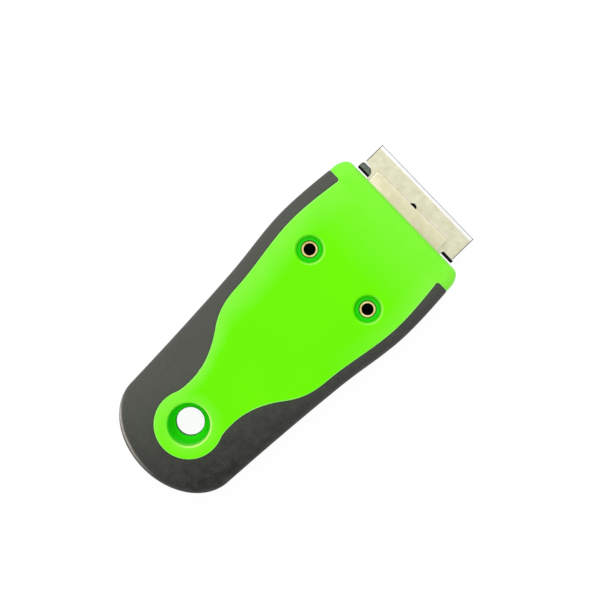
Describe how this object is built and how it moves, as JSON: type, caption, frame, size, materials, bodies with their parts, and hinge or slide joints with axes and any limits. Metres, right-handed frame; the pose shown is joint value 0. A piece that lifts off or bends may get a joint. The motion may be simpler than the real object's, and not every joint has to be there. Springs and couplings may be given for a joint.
{
  "type": "razor scraper",
  "caption": "Flat hand scraper with a two-part handle, a soft grip band and a screw clamp that holds a single-edge blade.",
  "frame": {"origin": "middle of the overall length and width, on the plane of the flat back", "axes": "+X across the handle, +Y along it towards the blade's edge, +Z out of the face with the wells"},
  "size_m": [0.0506, 0.1152, 0.0132],
  "materials": {
    "green_plastic": "smooth moulded lime green",
    "dark_rubber": "matt charcoal soft moulding",
    "brass": "turned",
    "black_steel": "black oxide",
    "zinc_steel": "zinc plated",
    "plate_steel": "rolled sheet with a warm tint",
    "dark_steel": "oiled dark sheet",
    "blade_steel": "ground edge"
  },
  "bodies": {
    "handle": {"front_shell": "green_plastic", "back_shell": "green_plastic", "grip_front": "dark_rubber", "grip_back": "dark_rubber", "insert_left": "brass", "insert_right": "brass", "upper_clamp_plate": "plate_steel", "lower_clamp_plate": "dark_steel", "washer_left": "zinc_steel", "washer_right": "zinc_steel"},
    "blade": {"razor_blade": "blade_steel", "blade_spine": "plate_steel"},
    "screw_left_body": {"clamp_screw_left": "black_steel"},
    "screw_right_body": {"clamp_screw_right": "black_steel"}
  },
  "joints": [
    {"name": "blade_slide", "type": "slide", "parent": "handle", "child": "blade", "axis": [0, 1, 0], "range_m": [0, 0.013]},
    {"name": "screw_left_turn", "type": "hinge", "parent": "handle", "child": "screw_left_body", "pos_m": [-0.012, 0.0215, 0], "axis": [0, 0, -1], "range_deg": [0, 900]},
    {"name": "screw_right_turn", "type": "hinge", "parent": "handle", "child": "screw_right_body", "pos_m": [0.012, 0.0215, 0], "axis": [0, 0, -1], "range_deg": [0, 900]}
  ]
}
